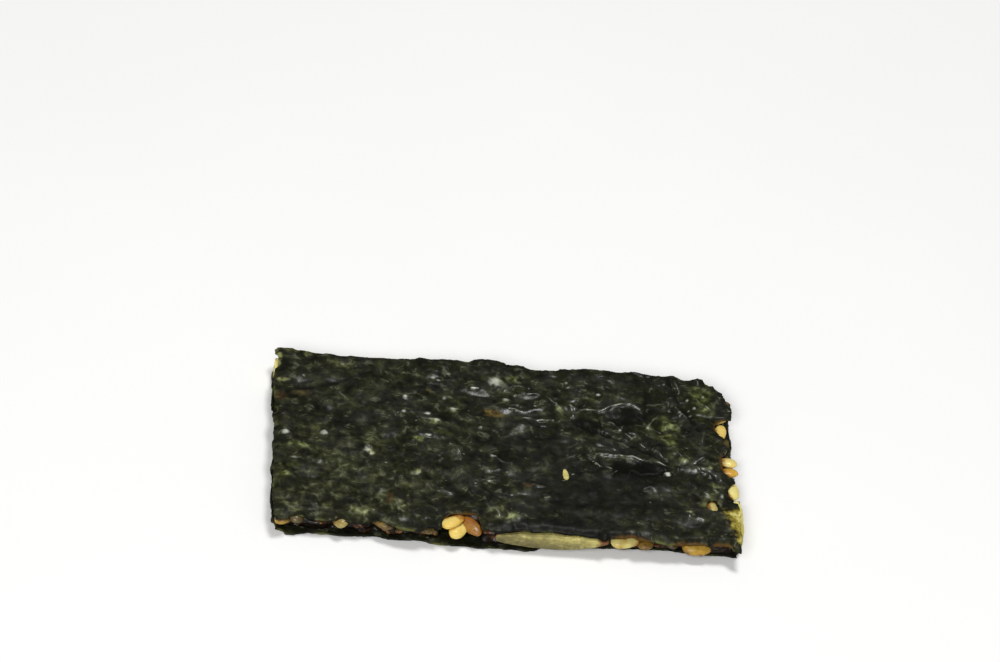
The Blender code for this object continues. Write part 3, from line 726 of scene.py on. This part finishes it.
class Heap:
    """Many small bodies gathered into one piece, with numbers for their points."""

    def __init__(self):
        self.points, self.faces, self.marks = [], [], {}

    def add(self, points, faces, **marks):
        """Adds one body. Each mark is a number for the body or a list for its points."""
        first = len(self.points)
        self.points += points
        self.faces += [[first + number for number in face] for face in faces]
        for name, value in marks.items():
            values = value if isinstance(value, list) else [value] * len(points)
            self.marks.setdefault(name, []).extend(values)

    def piece(self, name, look, slot):
        """The piece that the bodies make."""
        made = piece_from(name, self.points, self.faces, look)
        for mark_name, values in self.marks.items():
            mark(made, mark_name, values)
        return made


def make_seeds(look):
    """The sesame seeds, each a little different in size and roast."""
    draw = random.Random(DRAW + 1)
    heap = Heap()
    for number, seed in enumerate([*BARED_SEEDS, *rim_seeds()]):
        wide, long = draw.uniform(0.92, 1.04), draw.uniform(0.94, 1.02)
        grid, faces, places = seed_grid(SEED_LENGTH * long, SEED_WIDTH * wide, SEED_THICKNESS, swirl=number)
        pose = seed_pose(seed)
        points = [pose @ p for p in grid]
        roast = clamp(draw.gauss(*SEED_ROAST))
        tone, film_and_shade = seed[6:] or (roast, None)
        if film_and_shade is None:
            deep = [syrup_and_shade_at(p) for p in points]
        else:
            # painted shade in part: darker towards the seed's lower side
            deep = [film_and_shade + 0.2 * clamp(FILLING_FLOOR + 0.6 * FILLING - p.z) for p in points]
        heap.add(points, faces, tone=tone, tip=places, deep=deep, bed=bedded(seed, points))
    heap.piece("sesame_seeds", look, "filling")


def make_chips(look, syrup_body):
    """Small chips of nut and puffed grain between the seeds at the cut edges, each stuck in the syrup."""
    draw = random.Random(DRAW + 2)
    heap = Heap()
    for number in range(CHIPS):
        edge = draw.choices(EDGES, CHIP_SHARES)[0]
        half = (LENGTH if edge in ("front", "back") else WIDTH) / 2 - 1
        x, y = on_edge(edge, draw.uniform(-half, half), draw.uniform(0.6, 1.2))
        size = draw.uniform(*CHIP_SIZES)
        z = draw.uniform(FILLING_FLOOR + 0.3, FILLING_TOP - 0.3)
        grid, faces, places = seed_grid(size * 1.5, size, size * 0.8, 8, 10, number)
        pose = Matrix.Translation((x, y, z)) @ Matrix.Rotation(draw.uniform(0, 6.28), 4, (0.3, 0.5, 0.8))
        points = [pose @ (p * (1 + 0.35 * noise.noise(p * 2.2 + Vector((number, 0, 0))))) for p in grid]
        stuck = syrup_body.find_nearest((x, y, z))[3] < 0.55 * size
        if stuck and not meets_flake(points):
            deep = [syrup_and_shade_at(p) for p in points]
            heap.add(points, faces, tone=clamp(draw.gauss(0.55, 0.3)), tip=places, deep=deep, bed=0.5)
    heap.piece("nut_chips", look, "filling")


def make_flake(name, look):
    """An almond flake: D-shaped, its straight side the one that the knife cut."""
    edge, start, end, depth, overhang, floor, roof, tapers, dullness_and_shade, skin, corner = FLAKES[name]
    middle, half = (start + end) / 2, (end - start) / 2
    out_x, out_y = OUTWARDS[edge]

    def shape(a, b, c):
        way, rise = 2 * a - 1, abs(2 * c - 1)
        chord = math.sqrt(max(0.0, 1 - (b * 0.96) ** 2.3))
        low = floor + tapers[a > 0.5] * way**2
        z = low + c * (roof - low)
        soft = 0.09 * (1 - math.sqrt(1 - rise**4)) if b == 0 else 0
        rounded = corner * abs(way) ** 5 if b == 0 else 0
        end_soft = 0.3 * way * (1 - math.sqrt(1 - min(0.999, rise) ** 3)) * chord
        along = middle + way * half * chord + 0.12 * half * b - end_soft
        x, y = on_edge(edge, along, max(b * depth + soft, rounded) - overhang)
        spot = Vector((x, y, z * FLAKE_GRAIN))
        bumpy = 0.06 * noise.noise(spot / 0.8) + 0.035 * noise.noise(spot / 0.25)
        if b == 0:
            x, y = x + out_x * (bumpy - 0.06), y + out_y * (bumpy - 0.06)
        return x, y, z + 0.7 * bumpy

    counts = (round(2 * half / FLAKE_PITCHES[0]), round(depth / FLAKE_PITCHES[1]), 14)
    points, faces, places = brick(counts, shape)
    made = piece_from(name, points, faces, look)
    outer = [(2 * a - 1) ** 5 if a > 0.5 else 0.7 * (2 * a - 1) ** 30 for a, _, _ in places]
    mark(made, "skin", [skin * share for share in outer])
    first, last = dullness_and_shade
    # painted shade in part: the flesh duller on the front flake and towards the bottom
    mark(made, "dull", [(first * (1 - a) + last * a) * (0.8 + 0.45 * (1 - c)) for a, _, c in places])
    mark(made, "low", [1 - c for _, _, c in places])
    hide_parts(name)


def make_crumb(look):
    """A crumb of almond that lies on the upper sheet."""
    x, y, width, length, thickness, turn = CRUMB
    grid, faces, _ = seed_grid(length, width, thickness, 12, 14, swirl=5)
    top = upper_top(x, y, WIDTH / 2 + y)
    pose = Matrix.Translation((x, y, top + 0.05)) @ Matrix.Rotation(math.radians(turn), 4, "Z")
    heap = Heap()
    heap.add([pose @ p for p in grid], faces, skin=0.0, dull=0.45, low=0.0)
    heap.piece("almond_crumb", look, "almond")


# ---------------- materials


class Value:
    """A shader socket that takes part in sums."""

    def __init__(self, look, socket):
        self.look, self.socket = look, socket

    def sum_with(self, operation, first, second):
        """A Math node's result."""
        return self.look.node("ShaderNodeMath", {"operation": operation}, {0: first, 1: second})

    def __add__(self, other):
        return self.sum_with("ADD", self, other)

    def __sub__(self, other):
        return self.sum_with("SUBTRACT", self, other)

    def __rsub__(self, other):
        return self.sum_with("SUBTRACT", other, self)

    def __mul__(self, other):
        return self.sum_with("MULTIPLY", self, other)

    def __pow__(self, other):
        return self.sum_with("POWER", self, other)

    __radd__, __rmul__ = __add__, __mul__


def set_stops(ramp, stops):
    """Sets the stops of a ramp, each a place and a colour."""
    while len(ramp.elements) < len(stops):
        ramp.elements.new(0.5)
    for element, (place, colour) in zip(ramp.elements, stops):
        element.position = place
        element.color = (*colour, 1)


class Look:
    """A material under construction: its nodes and its one shader."""

    def __init__(self, name, **constants):
        self.material = bpy.data.materials.new(name)
        self.material.use_nodes = True
        self.tree = self.material.node_tree
        self.shader = self.tree.nodes["Principled BSDF"]
        for socket, value in constants.items():
            self.shader.inputs[socket.replace("_", " ")].default_value = value
        self.mm = self.vector("SCALE", self.node("ShaderNodeTexCoord", {}, {}, "Object"), Scale=1 / MM)

    def node(self, kind, settings, sockets, output=0):
        """Adds a node: its settings first, then the values or links of its sockets."""
        made = self.tree.nodes.new(kind)
        for key, value in settings.items():
            if key == "stops":
                set_stops(made.color_ramp, value)
            else:
                setattr(made, key, value)
        for key, value in sockets.items():
            if isinstance(value, Value):
                self.tree.links.new(value.socket, made.inputs[key])
            else:
                made.inputs[key].default_value = value
        return Value(self, made.outputs[output])

    def vector(self, operation, first, second=None, output=0, **named):
        """A vector sum."""
        sockets = {0: first, **named}
        if second is not None:
            sockets[1] = second
        return self.node("ShaderNodeVectorMath", {"operation": operation}, sockets, output)

    def noise(self, size, detail=2.0, roughness=0.5, stretch=(1, 1, 1), twist=0.0):
        """Noise of 0 to 1 with swells about `size` mm across, longer where stretch is over 1."""
        place = self.vector("MULTIPLY", self.mm, tuple(1 / (size * s) for s in stretch))
        sockets = {"Vector": place, "Scale": 1, "Detail": detail, "Roughness": roughness}
        return self.node("ShaderNodeTexNoise", {}, {**sockets, "Distortion": twist}, "Fac")

    def band(self, value, low, high):
        """0 below low, 1 above high and a smooth way between them."""
        sockets = {"Value": value, "From Min": low, "From Max": high}
        return self.node("ShaderNodeMapRange", {"interpolation_type": "SMOOTHSTEP"}, sockets)

    def mix(self, factor, first, second, blend="MIX"):
        """One colour over another."""
        settings = {"data_type": "RGBA", "blend_type": blend}
        first, second = (c if isinstance(c, Value) else (*c, 1) for c in (first, second))
        return self.node("ShaderNodeMix", settings, {0: factor, 6: first, 7: second}, 2)

    def ramp(self, value, *stops):
        """A colour that changes with a value."""
        return self.node("ShaderNodeValToRGB", {"stops": stops}, {"Fac": value})

    def marked(self, name):
        """A number that the mesh carries for each point."""
        return self.node("ShaderNodeAttribute", {"attribute_name": name}, {}, "Fac")

    def near(self, x, y, half_x, half_y):
        """1 at a place in plan and 0 beyond its half sizes."""
        offset = self.vector("SUBTRACT", self.mm, (x, y, 0))
        scaled = self.vector("MULTIPLY", offset, (1 / half_x, 1 / half_y, 0))
        way = self.vector("LENGTH", scaled, output="Value")
        return 1 - self.band(way, 0.35, 1.0)

    def feed(self, **sockets):
        """Links values to the shader's sockets."""
        for socket, value in sockets.items():
            self.tree.links.new(value.socket, self.shader.inputs[socket.replace("_", " ")])

    def bump(self, height):
        """Relief from a height in mm. Returns the finished material."""
        self.feed(Normal=self.node("ShaderNodeBump", {}, {"Height": height, "Distance": MM, "Strength": 1}))
        return self.material


# tints of the blades that the sheet is felted from, each times the brightness of its spot
GREY_TINT = (0.98, 1.0, 0.72)
OLIVE_TINT = (0.93, 1.0, 0.44)
LEAF_TINT = (0.86, 1.0, 0.28)
PALE_TINT = (0.91, 1.0, 0.5)
# painted shade for the grooves
GROOVE_SHADE = (0.0034, 0.0035, 0.0028)
# painted highlight: the pale colour laid along wrinkle crests and in thin strokes
CREST_SHEEN = (0.15, 0.16, 0.108)
# painted light: the green of light shining through the thin rims
LIT_THROUGH_GREEN = (0.115, 0.125, 0.032)
SYRUP_SHOWING = (0.21, 0.135, 0.02)
REDDISH = (0.085, 0.04, 0.015)
OCHRE = (0.11, 0.075, 0.018)
DULL_OCHRE = (0.06, 0.046, 0.015)
# pale specks: partly salt, partly painted glints
SALT_AND_SHEEN = (0.42, 0.43, 0.34)
GLINT = (0.62, 0.64, 0.54)
# painted light: the glow of the thin rim at the left, as if lit through
GLOWING = (0.34, 0.36, 0.13)
# painted light shining through the thin rim
LIT_THROUGH_RIM = (0.115, 0.12, 0.035)
AMBER_SOAKED = (0.092, 0.045, 0.009)
# spots where something else shows, and spots of painted light shining through the thin rim at the left,
# at the back left corner and by the tear: x, y, half sizes and colour
STAINS_AND_GLOWS = (
    (-1.4, 4.8, 1.6, 0.75, SYRUP_SHOWING), (-23.4, 5.2, 0.8, 0.9, REDDISH),
    (-21.2, 5.7, 1.6, 0.6, DULL_OCHRE), (-12.2, -8.8, 0.5, 1.1, REDDISH),
    (-8.0, 7.4, 0.5, 0.6, DULL_OCHRE), (2.1, -5.4, 0.7, 0.45, REDDISH),
    (-23.8, 11.0, 0.6, 1.9, GLOWING), (-23.2, 7.6, 0.9, 0.35, GLOWING),
    (-21.5, 12.2, 2.4, 0.5, LIT_THROUGH_RIM), (-23.9, 2.5, 0.35, 2.4, LIT_THROUGH_RIM),
    (23.3, 2.9, 0.6, 0.8, OCHRE), (20.9, -6.0, 1.5, 1.4, LIT_THROUGH_RIM),
)
# the fringe's colours, from where it starts to where almond shows through it
FRINGE_STOPS = (
    (0.1, (0.02, 0.016, 0.006)),
    (0.36, (0.11, 0.086, 0.015)),
    (0.64, (0.27, 0.222, 0.036)),
    (0.98, (0.66, 0.6, 0.22)),
)


def roasted_nori():
    """Dark nori: a felt of grey, olive and yellow-green blades, oily in places, green where it is thin.
    Painted light: a lit-through green at its thin rims, highlights on its crests and shade in its grooves.
    """
    look = Look("roasted_nori", Specular_IOR_Level=0.05, Coat_Roughness=0.27, Coat_IOR=1.5)
    blades = look.noise(2.2, 3, 0.6, (1.2, 1, 1))
    shreds = look.noise(0.9, 2, 0.52, (1.25, 1.15, 1), twist=0.4)
    fibres = look.noise(0.4, 2, 0.5, (1.05, 1.2, 1), twist=0.3)
    lighter, greener = look.marked("lighter"), look.marked("greener")
    crest, groove = look.marked("crest"), look.marked("groove")
    rim, smooth = look.marked("rim"), look.marked("smooth")
    depth = (0.75 * blades + 1.1 * shreds + 0.18 * fibres - 1.015) * (1 - 0.6 * smooth)
    depth = 0.5 + depth + lighter * (0.26 + 0.6 * (shreds + 0.6 * fibres - 0.8)) - 0.25 * smooth
    brightness = (0.0018, 0.0046, 0.0125, 0.036, 0.115, 0.3)
    stops = ((number / 5, (level, level, level)) for number, level in enumerate(brightness))
    tone = look.ramp(0.8 * depth, *stops)
    tint = look.mix(look.band(look.noise(1.3, 3, 0.6) + 0.14 * greener, 0.34, 0.52), GREY_TINT, OLIVE_TINT)
    leafy = look.band(look.noise(0.9, 2, 0.6, twist=0.5) + 0.14 * greener, 0.56, 0.74)
    tint = look.mix(leafy, tint, LEAF_TINT)
    tint = look.mix(0.6 * look.band(depth, 0.8, 1.15), tint, PALE_TINT)
    colour = look.mix(1.0, tone, tint, "MULTIPLY")
    off = look.noise(1.6, 2, 0.5, (1.3, 1, 1), twist=0.8) - 0.5
    lively = look.band(greener, -0.8, -0.1) * (1 - smooth)
    # painted sheen: thin pale strokes in the crest highlight colour
    sheen_wisps = (1 - look.band(off * off, 0.0001, 0.001)) * look.band(shreds, 0.5, 0.65)
    colour = look.mix(0.35 * sheen_wisps * (0.2 + 0.8 * lively), colour, CREST_SHEEN)
    # painted highlight along the crests of the wrinkles and fine creases
    colour = look.mix(look.band(crest * (0.6 + 0.8 * fibres), 0.25, 0.95), colour, CREST_SHEEN)
    # painted shade: the grooves darkened nearly to black
    colour = look.mix(0.85 * look.band(groove, 0.15, 0.9), colour, GROOVE_SHADE)
    # painted light: the thin rims tinted a lighter green, as if lit through from behind
    thin = rim * look.band(look.noise(2.2, 3), 0.42, 0.75)
    colour = look.mix(look.band(thin, 0.3, 1.1), colour, LIT_THROUGH_GREEN)
    # pale flecks: partly salt, partly painted glints
    salt_and_sheen_flecks = look.noise(0.6, 1, 0.5, (1.5, 1, 1))
    colour = look.mix(0.7 * look.band(salt_and_sheen_flecks + 0.06 * blades, 0.77, 0.92), colour, SALT_AND_SHEEN)
    mottled = 0.8 * look.band(0.4 * fibres + 0.6 * shreds, 0.36, 0.66)
    # real stains, and spots of painted light shining through the thin rim
    for *place, stain_and_glow in STAINS_AND_GLOWS:
        colour = look.mix(look.near(*place) * mottled, colour, stain_and_glow)
    amber = look.band(look.marked("soaked") + 0.7 * (fibres - 0.5), 0.1, 0.85)
    colour = look.mix(0.85 * amber, colour, AMBER_SOAKED)
    colour = look.mix(look.marked("glint") * look.band(fibres + shreds, 0.6, 1.1), colour, GLINT)
    fringe = look.marked("fringe")
    glow = look.ramp(0.13 + 0.7 * fringe + 1.2 * (shreds - 0.5) + 1.2 * (fibres - 0.5), *FRINGE_STOPS)
    colour = look.mix(look.band(fringe + 0.4 * (fibres - 0.5), 0.05, 0.3), colour, glow)
    oily = look.band(look.noise(3.2, 3, 0.55) + 0.8 * crest + 0.4 * fibres - 0.1 * greener, 0.6, 1.05)
    dry = (1 - 0.9 * rim**0.4) * (0.12 + 0.88 * look.band(greener, -0.8, 0.0)) * (1 - 0.5 * smooth)
    dry = dry * (1 - 0.85 * look.band(groove, 0.1, 0.6))
    look.feed(Base_Color=colour, Roughness=0.66 - 0.15 * oily, Coat_Weight=0.02 + 0.88 * oily * dry)
    relief = (0.09 * shreds + 0.008 * fibres + 0.06 * blades) * (1 - 0.6 * smooth)
    return look.bump(relief)


PALE_SEED = (0.72, 0.62, 0.21)
GOLDEN_SEED = (0.7, 0.42, 0.045)
ROASTED_SEED = (0.26, 0.11, 0.012)
AMBER_RIM = (0.26, 0.085, 0.005)
# dark of deep syrup, partly painted shade
SYRUP_AND_SHADE_DARK = (0.05, 0.034, 0.011)


def glazed_seed():
    """Sesame seed coat glazed with syrup, which pools amber where the seed is bedded,
    darker where syrup covers it and, partly as painted shade, towards its lower side.
    """
    waxy = {"Subsurface_Weight": 0.15, "Subsurface_Radius": (1.0, 0.55, 0.2), "Subsurface_Scale": 0.4 * MM}
    look = Look("glazed_seed", Specular_IOR_Level=0.3, Coat_Roughness=0.18, **waxy)
    tone, tip, deep = look.marked("tone"), look.marked("tip"), look.marked("deep")
    blotches, specks = look.noise(0.8, 3), look.noise(0.22, 3, 0.6)
    roast = tone + 0.75 * (blotches - 0.5) + 0.22 * look.band(tip, 0.7, 1.0) + 0.35 * (specks - 0.5)
    colour = look.ramp(roast, (0.0, PALE_SEED), (0.42, GOLDEN_SEED), (1.0, ROASTED_SEED))
    pooled = look.band(look.marked("bed") + 0.8 * (blotches - 0.5) + 0.4 * deep, 0.32, 0.66)
    colour = look.mix(0.95 * pooled, colour, AMBER_RIM)
    # darker where syrup covers the seed, partly painted shade towards its lower side
    colour = look.mix(look.band(deep + 0.35 * (blotches - 0.5), 0.15, 0.85), colour, SYRUP_AND_SHADE_DARK)
    syrupy = look.band(look.noise(1.3), 0.3, 0.6)
    look.feed(Base_Color=colour, Roughness=0.4 + 0.3 * blotches, Coat_Weight=0.05 + 0.3 * syrupy)
    return look.bump(0.02 * specks + 0.03 * blotches)


DARK_SYRUP = (0.0065, 0.004, 0.0022)
AMBER_SYRUP = (0.16, 0.05, 0.01)


def set_syrup():
    """Set syrup: nearly black where it lies thick and amber where it is thin."""
    look = Look("set_syrup", Specular_IOR_Level=0.2, Coat_Roughness=0.15, Coat_Weight=0.1)
    thin = look.band(look.noise(1.3, 3, 0.6), 0.52, 0.74)
    colour = look.mix(thin, DARK_SYRUP, AMBER_SYRUP)
    look.feed(Base_Color=colour, Roughness=0.2 + 0.35 * look.noise(0.6, 2))
    return look.bump(0.06 * look.noise(0.5, 3))


ALMOND_FLESH = (0.8, 0.72, 0.25)
ALMOND_SHADE = (0.54, 0.47, 0.14)
# dull flesh, partly painted shade
DULL_AND_SHADED_ALMOND = (0.19, 0.165, 0.056)
ALMOND_SKIN = (0.15, 0.055, 0.014)
# dark crumbly specks, partly painted shade
CRUMBS_AND_SHADE = (0.035, 0.03, 0.013)


def almond_flesh():
    """Roasted almond: cream flesh with a fine grain, and brown skin at its rim."""
    waxy = {"Subsurface_Weight": 0.25, "Subsurface_Radius": (1.0, 0.7, 0.35), "Subsurface_Scale": 0.6 * MM}
    look = Look("almond_flesh", Specular_IOR_Level=0.25, Coat_Roughness=0.3, Coat_Weight=0.06, **waxy)
    grain = look.noise(0.3, 4, 0.65, (1.6, 1.6, 1))
    cloudy = look.noise(1.6, 3)
    colour = look.mix(look.band(grain * 0.6 + cloudy * 0.5, 0.45, 0.68), ALMOND_SHADE, ALMOND_FLESH)
    mottles = look.noise(0.55, 3, 0.6, (1.8, 1.8, 1))
    # dull flesh, partly painted shade on the front flake and towards the bottom
    dull = look.marked("dull") * (1.6 * mottles - 0.05)
    colour = look.mix(look.band(dull, 0.0, 1.0), colour, DULL_AND_SHADED_ALMOND)
    # dark crumbly specks, more towards the bottom, partly painted shade
    crumbs_and_shade = look.band(look.noise(0.75, 3, 0.6) + 0.26 * look.marked("low"), 0.52, 1.0)
    colour = look.mix(0.8 * crumbs_and_shade * look.band(look.marked("dull"), 0.0, 0.5), colour, CRUMBS_AND_SHADE)
    skin = look.band(look.marked("skin") + 0.5 * (cloudy - 0.5), 0.25, 0.6)
    colour = look.mix(skin, colour, ALMOND_SKIN)
    look.feed(Base_Color=colour, Roughness=0.42 + 0.25 * grain)
    return look.bump(0.05 * grain + 0.1 * mottles)


def pale_floor():
    """The plain pale surface under the crisp."""
    look = Look("pale_floor")
    cloudy = look.noise(40.0, 2)
    colour = look.mix(cloudy, (0.86, 0.86, 0.85), (0.89, 0.89, 0.88))
    look.feed(Base_Color=colour, Roughness=0.6 + 0.1 * cloudy)
    return look.material


# ---------------- floor, light and camera

AIM = (0.19, 20.3, 0.0)
AZIMUTH, ELEVATION, ROLL = (math.radians(angle) for angle in (-8.19, 42.42, 9.91))
AWAY = 500.0
LENS = 168.638
# soft boxes that face the crisp: place, sides, power
SOFT_BOXES = {
    "top_box": ((60, 90, 430), (130, 100), 1.05),
    "front_box": ((-160, -400, 380), (300, 240), 2.3),
}
FLOOR_HALF = 330.0
ROOM_LIGHT, ROOM_PALENESS = 0.2, 0.85  # what the room sheds, and how pale it looks behind the floor


def make_camera():
    """The camera, at the photograph's viewing angle."""
    data = bpy.data.cameras.new("camera")
    data.lens = LENS
    camera = placed("camera", data)
    heading = Matrix.Translation(Vector(AIM) * MM) @ Matrix.Rotation(AZIMUTH, 4, "Z")
    tilt = Matrix.Rotation(math.pi / 2 - ELEVATION, 4, "X") @ Matrix.Rotation(ROLL, 4, "Z")
    camera.matrix_world = heading @ tilt @ Matrix.Translation((0, 0, AWAY * MM))
    bpy.context.scene.camera = camera


def make_light(name, place, sides, power):
    """A soft box that faces the crisp."""
    data = bpy.data.lights.new(name, "AREA")
    data.shape = "RECTANGLE"
    data.size, data.size_y = (side * MM for side in sides)
    data.energy = power
    lamp = placed(name, data)
    lamp.location = Vector(place) * MM
    lamp.rotation_euler = Vector(place).to_track_quat("Z", "Y").to_euler()


def make_floor():
    """The floor that the crisp lies on."""
    corners = [Vector((x, y, 0)) * FLOOR_HALF * MM for x, y in ((-1, -1), (1, -1), (1, 1), (-1, 1))]
    mesh = bpy.data.meshes.new("floor")
    mesh.from_pydata(corners, [], [(0, 1, 2, 3)])
    mesh.materials.append(pale_floor())
    floor = placed("floor", mesh)


def make_room():
    """The room, which sheds a dim light and looks pale behind the floor."""
    world = bpy.data.worlds.new("room")
    world.use_nodes = True
    nodes, links = world.node_tree.nodes, world.node_tree.links
    shed, seen = nodes["Background"], nodes.new("ShaderNodeBackground")
    room = nodes.new("ShaderNodeMixShader")
    for number, (shade, strength) in enumerate(((shed, ROOM_LIGHT), (seen, ROOM_PALENESS)), 1):
        shade.inputs["Color"].default_value = (1, 1, 1, 1)
        shade.inputs["Strength"].default_value = strength
        links.new(shade.outputs[0], room.inputs[number])
    links.new(nodes.new("ShaderNodeLightPath").outputs["Is Camera Ray"], room.inputs[0])
    links.new(room.outputs[0], nodes["World Output"].inputs["Surface"])
    bpy.context.scene.world = world
    bpy.context.scene.view_settings.view_transform = "Standard"


def main():
    """Makes every piece, then what it is shown on and in."""
    nori, syrup, seed, almond = roasted_nori(), set_syrup(), glazed_seed(), almond_flesh()
    make_upper_sheet(nori)
    make_lower_sheet(nori)
    syrup_body = make_syrup(syrup)
    make_seeds(seed)
    make_chips(seed, syrup_body)
    for name in FLAKES:
        make_flake(name, almond)
    make_crumb(almond)
    make_floor()
    for name, box in SOFT_BOXES.items():
        make_light(name, *box)
    make_room()
    make_camera()


main()
